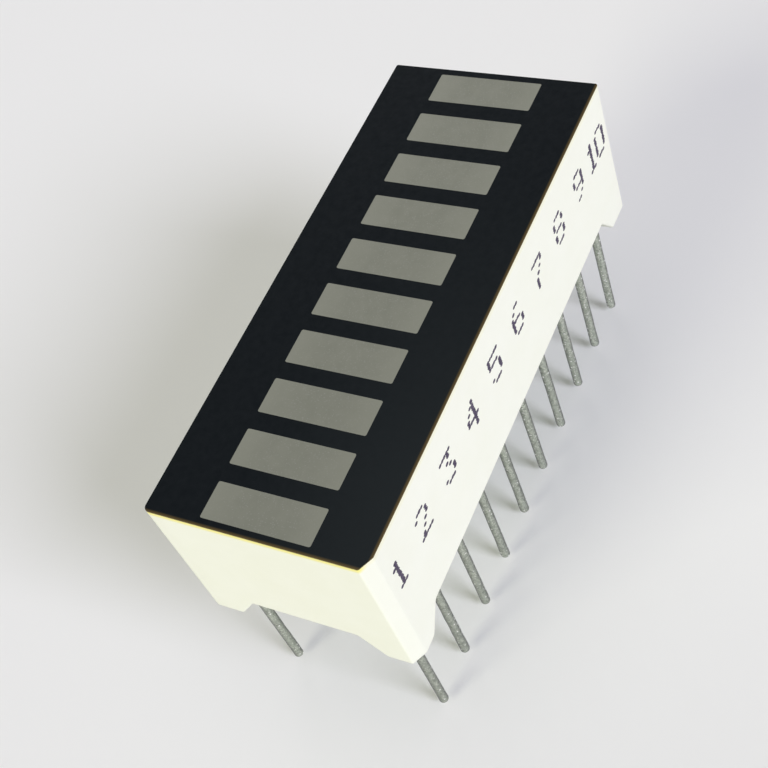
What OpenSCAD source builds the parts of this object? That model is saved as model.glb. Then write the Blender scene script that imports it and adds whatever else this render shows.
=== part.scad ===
// LED bar graph in a dual in-line package, in millimetres.
//
// A white moulded housing stands on four feet with its face up. The feet are a node of their own
// beneath the rim of the same moulding, so that the room between them stays open. A black printed
// film covers the face and leaves one window for each bar. Behind each window the housing has a
// tapered well that ends over a light-emitting chip. A circuit board closes the housing from
// below: it carries the chips, their gold wires and copper tracks, and two rows of headed pins
// that pass down through it. One casting of diffused epoxy fills the windows, the wells, both
// side channels and the room around the board.
//
// The feet stand on z = 0, the pins run below it, and +X runs along the body. Bar 1 and pin 1 are
// at the -X end, beside the cut corner. The pins count along the -Y row to +X and come back along
// the +Y row, so bar k lies between pin k and the pin across from it.

/* [Bars and pins] */
// Number of bars, each with one pin at either side
bar_count = 10; // [2:1:13]
// Distance from bar to bar, and from pin to pin along a row
pin_pitch = 2.54; // [2.1:0.01:4]
// Distance between the two rows of pins
row_spacing = 7.62; // [7:0.01:16]
// Diameter of a pin's round lead
pin_d = 0.45; // [0.3:0.01:0.6]
// Length of the pins below the feet
pin_below = 6.6; // [2:0.1:16]
// Length of a bar's window across the body
bar_l = 5; // [3:0.1:6]
// Width of a bar's window along the body
bar_w = 1.7; // [1.3:0.05:2.2]
// Corner radius of a window
bar_r = 0.08; // [0.05:0.01:0.2]

/* [Housing] */
// Height from the bottom of the feet to the face
body_h = 8; // [6:0.1:14]
// Thickness of the side and end walls
wall = 0.6; // [0.4:0.05:1.2]
// Thickness of the housing's face over the side channels
face_t = 0.8; // [0.5:0.05:1.2]
// Thickness of the black film
film_t = 0.05; // [0.02:0.01:0.2]
// Height of the feet below the rim of the walls
foot_h = 1.35; // [0.5:0.05:2.5]
// Length of a foot's sole along the body
foot_l = 1.45; // [0.9:0.05:3]
// Length of a foot's sole across the body
foot_w = 1.5; // [0.9:0.05:2.2]
// Run of the slope between a sole and the rim
foot_slope = 1; // [0.2:0.05:1.2]
// Radius of the upright corners
corner_r = 0.15; // [0.1:0.01:0.35]
// Length of the cut at the pin 1 corner, along the body
cut_l = 0.65; // [0.45:0.05:0.75]
// Length of the cut at the pin 1 corner, across the body
cut_w = 0.35; // [0.3:0.05:0.7]

/* [Wells] */
// Depth of the straight lip behind each window
lip_h = 0.4; // [0.2:0.05:1]
// Step from the lip in to the top of the taper
lip_step = 0.06; // [0.05:0.01:0.15]
// Bare floor of a well beyond the wire's pad, across the body
floor_lap_l = 0.4; // [0.1:0.05:0.6]
// Bare floor of a well beyond the chip's pad, along the body
floor_lap_w = 0.25; // [0.05:0.05:0.4]

/* [Board] */
// Thickness of the circuit board
board_t = 1; // [0.6:0.05:1.6]
// Depth of the board's back inside the rim
board_recess = 0.3; // [0.1:0.05:1]
// Radius of the board's corners
board_r = 0.1; // [0.05:0.01:0.2]
// Clearance between the board's edge and the walls
board_gap = 0.1; // [0.05:0.01:0.3]
// Copper kept back from the ends of the board
edge_l = 0.12; // [0.05:0.01:1]
// Copper kept back from the long edges of the board
edge_w = 0.14; // [0.05:0.01:1]
// Clearance between the board and the underside of the wells
fill_gap = 0.2; // [0.1:0.05:0.5]
// Thickness of the copper
copper_t = 0.035; // [0.02:0.005:0.07]
// Width of a track
track_w = 0.3; // [0.15:0.05:0.4]
// Side of the square pad that a wire lands on
bond_pad = 0.4; // [0.2:0.05:0.6]
// Bare board between a chip's pad and its wire's pad
pad_space = 0.15; // [0.05:0.01:0.3]

/* [Pin joints] */
// Growth of the shank's radius from the feet up to the head
shank_taper = 0.055; // [0.02:0.005:0.1]
// Clearance around the shank in the board's hole
hole_gap = 0.02; // [0.01:0.01:0.1]
// Width of the head's seat around the hole
head_lap = 0.03; // [0.02:0.01:0.15]
// Height of the head
head_h = 0.12; // [0.08:0.01:0.16]
// Width of the solder around the head
solder_lap = 0.05; // [0.03:0.01:0.15]
// Thickness of the solder over the head
solder_cap = 0.03; // [0.02:0.01:0.1]
// Copper that shows around the solder
pad_lap = 0.02; // [0.01:0.01:0.2]
// Room between the solder and the side of the wells' block
channel_gap = 0.2; // [0.1:0.05:0.3]

/* [Chips] */
// Side of a chip
chip_l = 0.3; // [0.2:0.01:0.5]
// Height of a chip
chip_h = 0.2; // [0.1:0.01:0.3]
// Glue that shows around a chip
glue_lap = 0.07; // [0.02:0.01:0.15]
// Thickness of the glue
glue_t = 0.02; // [0.01:0.005:0.04]
// Copper that shows around the glue
die_lap = 0.03; // [0.01:0.01:0.1]
// Diameter of a bond wire
wire_d = 0.03; // [0.02:0.005:0.05]
// Straight rise of the wire before its arch
wire_rise = 0.05; // [0.02:0.01:0.2]

/* [Hidden] */
// Places of the pins' features, as radii from the pin's axis
pin_r = pin_d / 2;
shank_r = pin_r + shank_taper;
hole_r = shank_r + hole_gap;
head_r = hole_r + head_lap;
solder_r = head_r + solder_lap;
pad_r = solder_r + pad_lap;

// Pads on the centre line, and the floor of a well around them
glue_l = chip_l + 2 * glue_lap;
die_pad = glue_l + 2 * die_lap;
wire_span = die_pad / 2 + pad_space + bond_pad / 2;
well_floor_l = 2 * (wire_span + bond_pad / 2 + floor_lap_l);
well_floor_w = die_pad + 2 * floor_lap_w;

// Outlines, from the pins outwards
rows_l = (bar_count - 1) * pin_pitch;
board_l = rows_l + 2 * (pad_r + edge_l);
board_w = row_spacing + 2 * (pad_r + edge_w);
cavity_l = board_l + 2 * board_gap;
cavity_w = board_w + 2 * board_gap;
cavity_r = board_r + board_gap;
body_l = cavity_l + 2 * wall;
body_w = cavity_w + 2 * wall;
block_w = row_spacing - 2 * (solder_r + channel_gap);

// Levels, from the feet upwards
board_z = foot_h + board_recess;
board_top = board_z + board_t;
copper_top = board_top + copper_t;
block_z = board_top + fill_gap;
chip_z = copper_top + glue_t;
chip_top = chip_z + chip_h;
arch_z = chip_top + wire_rise;
film_z = body_h - film_t;
lip_z = film_z - lip_h;
channel_top = film_z - face_t;

// How far a cutting tool runs past the face that it cuts
past = 1;
// Share of the head's radius left at its top
head_crown = 0.75;

$fn = 48;

bars = [for (bar = [1 : bar_count]) bar];
pins = [for (pin = [1 : 2 * bar_count]) pin];

function numbered(name, number) = str(name, "_", number < 10 ? "0" : "", number);
function bar_x(bar) = (bar - 1) * pin_pitch - rows_l / 2;
function on_first_row(pin) = pin <= bar_count;
function pin_x(pin) = bar_x(on_first_row(pin) ? pin : 2 * bar_count + 1 - pin);
function pin_y(pin) = (on_first_row(pin) ? -1 : 1) * row_spacing / 2;

// A rectangle centred on the origin, with round corners.
module rounded_rectangle(length, width, radius) {
    square([length - 2 * radius, width], center = true);
    square([length, width - 2 * radius], center = true);
    for (x = [-1, 1], y = [-1, 1])
        translate([x * (length / 2 - radius), y * (width / 2 - radius)]) circle(r = radius);
}

// A symmetric trapezoid that stands on the line y = z0.
module trapezoid(bottom, top, z0, z1) {
    polygon([[-bottom / 2, z0], [bottom / 2, z0], [top / 2, z1], [-top / 2, z1]]);
}

// Turns a drawing in x and z into a solid that runs the given length along Y.
module run_across(length) {
    rotate([90, 0, 0]) linear_extrude(height = length, center = true) children();
}

// Turns a drawing in y and z into a solid that runs the given length along X.
module run_along(length) {
    rotate([90, 0, 90]) linear_extrude(height = length, center = true) children();
}

// The housing from above: three round corners and the cut one beside pin 1.
module housing_outline() {
    difference() {
        rounded_rectangle(body_l, body_w, corner_r);
        translate([cut_l - body_l / 2, -body_w / 2]) rotate(-atan2(cut_w, cut_l))
            translate([-2 * cut_l, -2 * cut_w]) square([4 * cut_l, 2 * cut_w]);
    }
}

module cavity_outline() {
    rounded_rectangle(cavity_l, cavity_w, cavity_r);
}

module window_outlines() {
    for (bar = bars) translate([bar_x(bar), 0]) rounded_rectangle(bar_w, bar_l, bar_r);
}

// The room between two feet, a given length apart at their soles, with the rim above it.
module foot_gap(length) {
    trapezoid(length, length - 2 * foot_slope, 0, foot_h);
    translate([-length / 2, -past]) square([length, past]);
    translate([foot_slope - length / 2, foot_h]) square([length - 2 * foot_slope, past]);
}

// The room inside the walls, from a given level up to the block of wells and into both channels.
module inner_room(from_z) {
    translate([0, 0, from_z]) {
        linear_extrude(height = block_z - from_z) cavity_outline();
        linear_extrude(height = channel_top - from_z) difference() {
            cavity_outline();
            square([body_l, block_w], center = true);
        }
    }
}

// The tapered wells with their straight lips, up to a given level.
module wells(to_z) {
    intersection() {
        run_across(bar_l) for (bar = bars) translate([bar_x(bar), 0])
            trapezoid(well_floor_w, bar_w - 2 * lip_step, board_top, lip_z);
        run_along(body_l) trapezoid(well_floor_l, bar_l - 2 * lip_step, board_top, lip_z);
    }
    translate([0, 0, lip_z]) linear_extrude(height = to_z - lip_z) window_outlines();
}

module reflector_housing() {
    color("ivory") difference() {
        translate([0, 0, foot_h]) linear_extrude(height = film_z - foot_h) housing_outline();
        inner_room(foot_h - past);
        wells(film_z + past);
    }
}

// The corners of the walls below the rim.
module housing_feet() {
    color("ivory") difference() {
        linear_extrude(height = foot_h) difference() {
            housing_outline();
            cavity_outline();
        }
        run_across(body_w + 2 * past) foot_gap(body_l - 2 * foot_l);
        run_along(body_l + 2 * past) foot_gap(body_w - 2 * foot_w);
    }
}

module face_film() {
    color([0.1, 0.11, 0.13]) translate([0, 0, film_z]) linear_extrude(height = film_t)
        difference() {
            housing_outline();
            window_outlines();
        }
}

module board_blank() {
    translate([0, 0, board_z]) linear_extrude(height = board_t)
        rounded_rectangle(board_l, board_w, board_r);
}

// The space of the board's holes, one around each pin, between two levels.
module pin_holes(from_z, to_z) {
    for (pin = pins) translate([pin_x(pin), pin_y(pin), from_z])
        cylinder(r = hole_r, h = to_z - from_z);
}

module circuit_board() {
    color([0.16, 0.36, 0.2]) difference() {
        board_blank();
        pin_holes(board_z - past, board_top + past);
    }
}

// A pad around a pin's hole, joined by a straight track to a square pad on the centre line.
module track(pin, square_y, square_side) {
    difference() {
        union() {
            translate([pin_x(pin), pin_y(pin)]) circle(r = pad_r);
            translate([pin_x(pin) - track_w / 2, min(pin_y(pin), square_y)])
                square([track_w, abs(pin_y(pin) - square_y)]);
            translate([pin_x(pin), square_y]) square(square_side, center = true);
        }
        translate([pin_x(pin), pin_y(pin)]) circle(r = hole_r);
    }
}

module copper_tracks() {
    color([0.72, 0.45, 0.2]) translate([0, 0, board_top]) linear_extrude(height = copper_t)
        for (pin = pins) {
            if (on_first_row(pin)) track(pin, 0, die_pad);
            else track(pin, wire_span, bond_pad);
        }
}

// A headed pin: round tip, round lead, a shank that widens up through the board, and a head.
module pin(number) {
    color([0.62, 0.61, 0.56]) translate([pin_x(number), pin_y(number), 0]) {
        translate([0, 0, pin_r - pin_below]) sphere(r = pin_r);
        translate([0, 0, pin_r - pin_below]) cylinder(r = pin_r, h = pin_below - pin_r);
        cylinder(r1 = pin_r, r2 = shank_r, h = copper_top);
        translate([0, 0, copper_top]) cylinder(r1 = head_r, r2 = head_crown * head_r, h = head_h);
    }
}

module solder_joints() {
    color([0.75, 0.75, 0.77]) for (number = pins) difference() {
        translate([pin_x(number), pin_y(number), copper_top])
            cylinder(r1 = solder_r, r2 = head_crown * solder_r, h = head_h + solder_cap);
        pin(number);
    }
}

// Square dabs of glue, rounded about the chips' corners.
module chip_glue() {
    color([0.8, 0.8, 0.8]) translate([0, 0, copper_top]) linear_extrude(height = glue_t)
        for (bar = bars) translate([bar_x(bar), 0]) rounded_rectangle(glue_l, glue_l, glue_lap);
}

module led_chip(bar) {
    color([0.35, 0.3, 0.28]) translate([bar_x(bar) - chip_l / 2, -chip_l / 2, chip_z])
        cube([chip_l, chip_l, chip_h]);
}

// A wire that rises from the chip, arches over in a half ring and drops to its pad.
module bond_wire(bar) {
    color("gold") translate([bar_x(bar), 0, 0]) {
        translate([0, 0, chip_top]) cylinder(d = wire_d, h = wire_rise);
        translate([0, wire_span / 2, arch_z]) rotate([90, 0, 90]) rotate_extrude(angle = 180)
            translate([wire_span / 2, 0]) circle(d = wire_d);
        translate([0, wire_span, copper_top]) cylinder(d = wire_d, h = arch_z - copper_top);
    }
}

module epoxy_fill() {
    color([0.5, 0.51, 0.47]) difference() {
        union() {
            inner_room(board_z);
            wells(body_h);
        }
        board_blank();
        pin_holes(board_z, copper_top);
        copper_tracks();
        chip_glue();
        for (bar = bars) {
            led_chip(bar);
            bond_wire(bar);
        }
        for (number = pins) pin(number);
        solder_joints();
    }
}

reflector_housing();
housing_feet();
face_film();
epoxy_fill();
circuit_board();
copper_tracks();
solder_joints();
chip_glue();
for (bar = bars) led_chip(bar);
for (bar = bars) bond_wire(bar);
for (number = pins) pin(number);
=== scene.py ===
"""The looks of a ten-segment LED bar graph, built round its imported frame.

The white moulding, its black face film, the epoxy bars, the twenty tinned pins and the printed bar
numbers are surfaces worked out as whole numpy arrays. The circuit board and the sealed inner
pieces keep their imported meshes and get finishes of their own. Lengths are in metres: +X runs along
the body from bar 1 to bar 10, +Z points out of the face, and the feet stand on z = 0.
"""

import logging
from dataclasses import dataclass, field
from enum import Enum
from functools import cache, cached_property
from typing import NamedTuple

import bmesh
import bpy
import numpy as np
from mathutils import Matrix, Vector
from mathutils.geometry import delaunay_2d_cdt


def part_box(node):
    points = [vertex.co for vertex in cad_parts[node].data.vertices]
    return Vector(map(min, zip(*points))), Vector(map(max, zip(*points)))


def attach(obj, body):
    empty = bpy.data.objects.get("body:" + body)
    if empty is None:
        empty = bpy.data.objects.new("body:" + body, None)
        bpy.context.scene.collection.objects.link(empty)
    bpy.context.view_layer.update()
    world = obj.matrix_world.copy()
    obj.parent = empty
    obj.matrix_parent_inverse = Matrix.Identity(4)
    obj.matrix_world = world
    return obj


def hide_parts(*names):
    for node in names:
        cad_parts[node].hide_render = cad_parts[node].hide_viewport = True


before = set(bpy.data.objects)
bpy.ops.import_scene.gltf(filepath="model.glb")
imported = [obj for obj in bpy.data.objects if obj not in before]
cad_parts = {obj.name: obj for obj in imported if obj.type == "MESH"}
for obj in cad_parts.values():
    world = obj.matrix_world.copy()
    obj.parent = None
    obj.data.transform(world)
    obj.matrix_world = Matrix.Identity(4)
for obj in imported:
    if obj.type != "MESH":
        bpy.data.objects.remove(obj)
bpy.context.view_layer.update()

MM = 0.001
SLACK = 1e-3 * MM
QUARTER = np.pi / 2
TURN = 4 * QUARTER
BODY = "root"
BARS = 10
PINS = 20
CORNERS = np.array([[1, -1], [1, 1], [-1, 1], [-1, -1]])
SIDES = np.array([[0, -1], [1, 0], [0, 1], [-1, 0]])

Array = np.ndarray
Span = tuple[float, float]
Triple = tuple[float, float, float]
Colour = Triple
Socket = bpy.types.NodeSocket
Node = bpy.types.Node
Tree = bpy.types.NodeTree
Material = bpy.types.Material
Object = bpy.types.Object

log = logging.getLogger("led_bar_graph")


class Slot(Enum):
    """The record's material slots."""

    WHITE_PLASTIC = "white_plastic"
    BLACK_FILM = "black_film"
    DIFFUSED_EPOXY = "diffused_epoxy"
    BOARD_LAMINATE = "board_laminate"
    COPPER = "copper"
    SOLDER = "solder"
    SILVER_GLUE = "silver_glue"
    CHIP_CRYSTAL = "chip_crystal"
    GOLD_WIRE = "gold_wire"
    TINNED_PIN = "tinned_pin"


class Facing(Enum):
    """Which way a flat patch looks."""

    UP = 1
    DOWN = -1


class Merge(Enum):
    """How several limits make one mask."""

    ALL = "MULTIPLY"
    ANY = "MAXIMUM"


# --------------------------------------------------------------------------- shapes


def numbered(name: str, number: int) -> str:
    """Returns a node or piece name with its two-figure number."""
    return f"{name}_{number:02d}"


def centre_of(node: str) -> Array:
    """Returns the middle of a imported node's box, in metres."""
    low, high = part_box(node)
    return (np.array(low) + np.array(high)) / 2


def at_height(points: Array, height: Array | float) -> Array:
    """Returns points of shape (n, 2) raised to one height, or to a height each."""
    return np.column_stack([points, np.broadcast_to(height, len(points))])


def soft_bend(distance: Array, reach: float) -> Array:
    """The positive part of a distance, with its bend at zero eased into a parabola.

    It is 0 below -reach, (d + reach)^2 / (4 reach) between, and d above +reach.

    Args:
        distance: Signed distances past the bend.
        reach: Half the length of the eased stretch.

    Returns:
        The eased values, of the same shape.
    """
    eased = (distance + reach) ** 2 / (4 * reach)
    return np.where(distance < -reach, 0.0, np.where(distance > reach, distance, eased))


class Outline(NamedTuple):
    """A walk along a curve, seen from above: points and outward normals, both of shape (n, 2)."""

    points: Array
    normals: Array

    @classmethod
    def arc(cls, centre: Array, radius: float, start: float, sweep: float, steps: int) -> "Outline":
        """Walks a circular arc: each point is the centre plus the radius times its normal.

        Args:
            centre: The arc's centre.
            radius: Its radius.
            start: Angle of the first normal, in radians.
            sweep: Angle turned through, anticlockwise.
            steps: Number of points, both ends included.

        Returns:
            The arc.
        """
        angle = start + np.linspace(0.0, sweep, steps)
        normals = np.stack([np.cos(angle), np.sin(angle)], axis=1)
        return cls(centre + radius * normals, normals)

    @classmethod
    def joined(cls, parts: list["Outline"]) -> "Outline":
        """Returns several walks as one."""
        return cls(*(np.concatenate(values) for values in zip(*parts)))

    def row(self, inset: Array | float, height: Array | float) -> Array:
        """Returns the points moved in against their normals and raised, of shape (n, 3)."""
        return at_height(self.points - self.normals * np.reshape(inset, (-1, 1)), height)


@dataclass(frozen=True)
class RoundedBox:
    """A rectangle with round corners, seen from above."""

    length: float
    width: float
    radius: float
    arc_steps: int = 7

    def loop(self, place: float, inset: float = 0.0) -> Array:
        """Walks its edge, or a loop inside it, anticlockwise: four arcs with straight runs between.

        Args:
            place: Where its middle stands along X.
            inset: Distance inside the edge.

        Returns:
            The points, of shape (n, 2).
        """
        radius = max(self.radius - inset, 0.0)
        half = np.array([self.length, self.width]) / 2 - inset - radius
        arcs = [
            Outline.arc(half * corner, radius, (k - 1) * QUARTER, QUARTER, self.arc_steps)
            for k, corner in enumerate(CORNERS)
        ]
        return Outline.joined(arcs).points + [place, 0.0]


def grid_quads(rows: int, columns: int, ring: bool = False) -> Array:
    """Faces between neighbouring rows of a grid, each of which closes on itself.

    Args:
        rows: Number of rows.
        columns: Number of points in each.
        ring: True if the last row also joins the first.

    Returns:
        Indices into the grid's points, of shape (n, 4).
    """
    grid = np.arange(rows * columns).reshape(rows, columns)
    upper = np.roll(grid, -1, axis=0) if ring else grid[1:]
    lower = grid if ring else grid[:-1]
    turned = [np.roll(row, -1, axis=1) for row in (upper, lower)]
    return np.stack([lower, upper, *turned], axis=-1).reshape(-1, 4)


def enclosed(points: Array, tails: Array, heads: Array) -> Array:
    """Tells which points lie inside an odd number of loops.

    A ray runs from each point towards +X, and it is inside if it crosses an odd number of edges.

    Args:
        points: The points, of shape (n, 2).
        tails: Where the loops' edges start, of shape (m, 2).
        heads: Where they end.

    Returns:
        True for each point inside, of shape (n,).
    """
    x, y = points[:, None, 0], points[:, None, 1]
    spans = (tails[:, 1] > y) != (heads[:, 1] > y)
    rise = np.where(heads[:, 1] == tails[:, 1], 1.0, heads[:, 1] - tails[:, 1])
    crossing = tails[:, 0] + (y - tails[:, 1]) / rise * (heads[:, 0] - tails[:, 0])
    return (spans & (x < crossing)).sum(axis=1) % 2 == 1


class Patchwork:
    """Gathers patches of faces and turns them into one closed mesh object."""

    WHOLE_HULL = 0
    TOUCHING_MM = 1e-6
    WELDED = 2e-7

    def __init__(self) -> None:
        """Starts with no patch."""
        self._points: list[Array] = []
        self._corners: list[Array] = []
        self._traits: list[Array] = []
        self._count = 0

    def _add(self, points: Array, faces: Array, smooth: bool = True, finish: int = 0) -> None:
        """Adds one patch.

        Args:
            points: Its points, of shape (n, 3).
            faces: Its faces, as indices into them, of shape (m, 3) or (m, 4).
            smooth: True if light runs smoothly over it.
            finish: Index of the finish that it wears.
        """
        self._points.append(points)
        self._corners.append((faces + self._count).ravel())
        self._traits.append(np.tile([faces.shape[1], smooth, finish], (len(faces), 1)))
        self._count += len(points)

    def strip(self, rows: list[Array] | Array, ring: bool = False, finish: int = 0) -> None:
        """Adds the skin between rows of points, each of which closes on itself.

        The faces look to the left of a row's direction when the next row is taken as up.

        Args:
            rows: The rows, each of shape (columns, 3).
            ring: True if the last row also joins the first.
            finish: Index of the finish that the faces wear.
        """
        faces = grid_quads(len(rows), len(rows[0]), ring)
        self._add(np.concatenate(rows), faces, finish=finish)

    def copies(self, grids: Array) -> None:
        """Adds many small skins of one kind, each the skin between its rows.

        Args:
            grids: Their points, of shape (copies, rows, columns, 3).
        """
        count, rows, columns = grids.shape[:3]
        shifts = np.arange(count)[:, None, None] * rows * columns
        self._add(grids.reshape(-1, 3), (grid_quads(rows, columns) + shifts).reshape(-1, 4))

    def flat(self, outer: Array, holes: list[Array], level: float, facing: Facing) -> None:
        """Adds a flat patch between an outer loop and the loops of its holes.

        The loops' own points are joined by constrained triangles, and those whose middle lies
        inside an odd number of loops are kept.

        Args:
            outer: The outer loop, of shape (n, 2).
            holes: The loops of the holes.
            level: Height of the patch.
            facing: Which way it looks.
        """
        points = np.concatenate([outer, *holes])
        sizes = np.array([len(loop) for loop in (outer, *holes)])
        stops = np.cumsum(sizes)
        edges = np.arange(len(points))[:, None] + [0, 1]
        edges[stops - 1, 1] = stops - sizes
        made = delaunay_2d_cdt(
            (points / MM).tolist(), edges.tolist(), [], self.WHOLE_HULL, self.TOUCHING_MM
        )
        if len(made[0]) != len(points):
            raise ValueError("the loops of a flat patch touch or cross")
        triangles = np.array(made[2])
        middles = points[triangles].mean(axis=1)
        triangles = triangles[enclosed(middles, points[edges[:, 0]], points[edges[:, 1]])]
        first, second, third = points[triangles].swapaxes(0, 1)
        turned = np.sign(np.cross(second - first, third - first)) != facing.value
        triangles[turned] = triangles[turned][:, ::-1]
        self._add(at_height(points, level), triangles, smooth=False)

    def piece(self, name: str, *finishes: Material) -> Object:
        """Makes the mesh object, with points that fall together merged.

        Args:
            name: The piece's name.
            *finishes: The materials, in the order of the patches' indices.

        Returns:
            The object, linked to the scene and standing at the origin.
        """
        mesh = bpy.data.meshes.new(name)
        points = np.concatenate(self._points).astype(np.float32)
        corners = np.concatenate(self._corners).astype(np.int32)
        sizes, smooth, finish = np.ascontiguousarray(np.concatenate(self._traits).T, np.int32)
        mesh.vertices.add(len(points))
        mesh.vertices.foreach_set("co", points.ravel())
        mesh.loops.add(len(corners))
        mesh.loops.foreach_set("vertex_index", corners)
        mesh.polygons.add(len(sizes))
        mesh.polygons.foreach_set("loop_start", (np.cumsum(sizes) - sizes).astype(np.int32))
        mesh.polygons.foreach_set("loop_total", sizes)
        mesh.update(calc_edges=True)
        mesh.polygons.foreach_set("use_smooth", smooth.astype(bool))
        mesh.polygons.foreach_set("material_index", finish)
        for material in finishes:
            mesh.materials.append(material)
        welded = bmesh.new()
        welded.from_mesh(mesh)
        bmesh.ops.remove_doubles(welded, verts=welded.verts, dist=self.WELDED)
        welded.to_mesh(mesh)
        welded.free()
        made = bpy.data.objects.new(name, mesh)
        bpy.context.scene.collection.objects.link(made)
        return made


# --------------------------------------------------------------------------- finishes


class Wiring:
    """Adds nodes to a node tree and joins their sockets."""

    FIRST_COLOUR, SECOND_COLOUR, MIXED_COLOUR = 6, 7, 2

    def __init__(self, tree: Tree) -> None:
        """Takes the tree to work on: a material's, a world's or a group's."""
        self.tree = tree

    def add(
        self, kind: str, values: dict[str | int, Socket | object] | None = None, **settings: object
    ) -> Node:
        """Adds a node.

        Args:
            kind: The node's type name.
            values: What its inputs take, by name or number: another node's output, or a value.
            **settings: Properties of the node itself.

        Returns:
            The node.
        """
        node = self.tree.nodes.new(kind)
        for name, setting in settings.items():
            setattr(node, name, setting)
        for name, value in (values or {}).items():
            if isinstance(value, Socket):
                self.tree.links.new(value, node.inputs[name])
            else:
                node.inputs[name].default_value = value
        return node

    def math(self, operation: str, *values: Socket | float) -> Socket:
        """Returns the result of an operation on its values."""
        return self.add("ShaderNodeMath", dict(enumerate(values)), operation=operation).outputs[0]

    def ramp(
        self, value: Socket, ends: tuple[Socket | float, Socket | float], out: Span = (0.0, 1.0)
    ) -> Socket:
        """Maps a value between two ends onto two other values, without overshooting.

        Args:
            value: The socket to map.
            ends: Input values at the two ends.
            out: Output values there.

        Returns:
            The mapped value's socket.
        """
        names = ("From Min", "From Max", "To Min", "To Max")
        values = {"Value": value, **dict(zip(names, (*ends, *out)))}
        return self.add("ShaderNodeMapRange", values, clamp=True).outputs["Result"]

    def blend(self, mask: Socket, first: Socket | Colour, second: Socket | Colour) -> Socket:
        """Mixes two colours by a mask.

        Args:
            mask: 0 shows the first colour and 1 the second.
            first: The first colour.
            second: The second colour.

        Returns:
            The mixed colour's socket.
        """
        values = {"Factor": mask}
        for number, colour in ((self.FIRST_COLOUR, first), (self.SECOND_COLOUR, second)):
            values[number] = colour if isinstance(colour, Socket) else (*colour, 1.0)
        return self.add("ShaderNodeMix", values, data_type="RGBA").outputs[self.MIXED_COLOUR]


class Effect:
    """Shader node groups that more than one finish uses, each built once."""

    CLOUD_ROUGHNESS = 0.6
    CLOUD_RANGE = (0.32, 0.68)
    SOLID_SHARE = 0.5

    @staticmethod
    def _started(name: str, *numbers: str) -> tuple[Wiring, dict[str, Socket]]:
        """Starts a group that takes a place and named numbers, and gives a mask.

        Args:
            name: The group's name.
            *numbers: Names of the inputs beside the place.

        Returns:
            The group's wiring, and what it is given by name.
        """
        tree = bpy.data.node_groups.new(name, "ShaderNodeTree")
        kinds = {"Place": "NodeSocketVector", **dict.fromkeys(numbers, "NodeSocketFloat")}
        for socket, kind in kinds.items():
            tree.interface.new_socket(socket, in_out="INPUT", socket_type=kind)
        tree.interface.new_socket("Mask", in_out="OUTPUT", socket_type="NodeSocketFloat")
        wiring = Wiring(tree)
        given = wiring.add("NodeGroupInput")
        return wiring, {socket: given.outputs[socket] for socket in kinds}

    @classmethod
    @cache
    def mottle(cls) -> Tree:
        """Builds cloudy patches: fractal noise, stretched so that its mask runs from 0 to 1.

        Returns:
            The group, which takes a place, a scale and a level of detail.
        """
        wiring, given = cls._started("mottle", "Scale", "Detail")
        values = {"Vector": given["Place"], "Scale": given["Scale"], "Detail": given["Detail"]}
        noise = wiring.add("ShaderNodeTexNoise", {**values, "Roughness": cls.CLOUD_ROUGHNESS})
        mask = wiring.ramp(noise.outputs["Fac"], cls.CLOUD_RANGE)
        wiring.add("NodeGroupOutput", {"Mask": mask})
        return wiring.tree

    @classmethod
    @cache
    def specks(cls) -> Tree:
        """Builds sparse soft dots: a cell texture's distance to its points, kept below a size.

        A cell shows its dot if its own random colour's red is less than the share.

        Returns:
            The group, which takes a place, a scale, a dot's size and the share that shows.
        """
        wiring, given = cls._started("specks", "Scale", "Size", "Share")
        values = {"Vector": given["Place"], "Scale": given["Scale"]}
        cells = wiring.add("ShaderNodeTexVoronoi", values, feature="F1")
        inner = wiring.math("MULTIPLY", given["Size"], cls.SOLID_SHARE)
        dot = wiring.ramp(cells.outputs["Distance"], (inner, given["Size"]), (1.0, 0.0))
        parts = wiring.add("ShaderNodeSeparateColor", {"Color": cells.outputs["Color"]})
        chosen = wiring.math("LESS_THAN", parts.outputs["Red"], given["Share"])
        wiring.add("NodeGroupOutput", {"Mask": wiring.math("MULTIPLY", dot, chosen)})
        return wiring.tree


class Surface(Wiring):
    """One material's wiring, which knows where on the object it is."""

    def __init__(self, tree: Tree) -> None:
        """Takes the material's tree."""
        super().__init__(tree)
        self.place = self.add("ShaderNodeTexCoord").outputs["Object"]

    def along(self, axis: str) -> Socket:
        """Returns the place along one of the object's axes."""
        return self.add("ShaderNodeSeparateXYZ", {"Vector": self.place}).outputs[axis]

    def effect(self, group: Tree, **values: float) -> Socket:
        """Places a shared effect with values of its own and returns its mask."""
        values = {"Place": self.place, **values}
        return self.add("ShaderNodeGroup", values, node_tree=group).outputs["Mask"]


@dataclass(frozen=True)
class Layer:
    """A colour laid over part of a surface."""

    colour: Colour

    def mask(self, surface: Surface) -> Socket:
        """Returns where the colour shows: 0 is nowhere and 1 fully."""
        raise NotImplementedError

    def laid(self, surface: Surface, under: Socket) -> Socket:
        """Returns the surface's colour with this one laid over it."""
        return surface.blend(self.mask(surface), under, self.colour)


@dataclass(frozen=True)
class Specks(Layer):
    """Sparse soft dots: their pitch, their size relative to it, and the share that shows."""

    pitch: float
    size: float
    share: float

    def mask(self, surface: Surface) -> Socket:
        """Returns the dots."""
        return surface.effect(
            Effect.specks(), Scale=1 / self.pitch, Size=self.size, Share=self.share
        )


@dataclass(frozen=True)
class TurnedAway(Layer):
    """Painted shade: a dark tone that rises to its most as the skin turns away from the eye, standing
    in for the darker reflections at a metal's edges.
    """

    turn: Span
    most: float

    def mask(self, surface: Surface) -> Socket:
        """Returns how far the skin turns away, between the two ends of the turn."""
        facing = surface.add("ShaderNodeLayerWeight").outputs["Facing"]
        return surface.ramp(facing, self.turn, (0.0, self.most))


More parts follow.
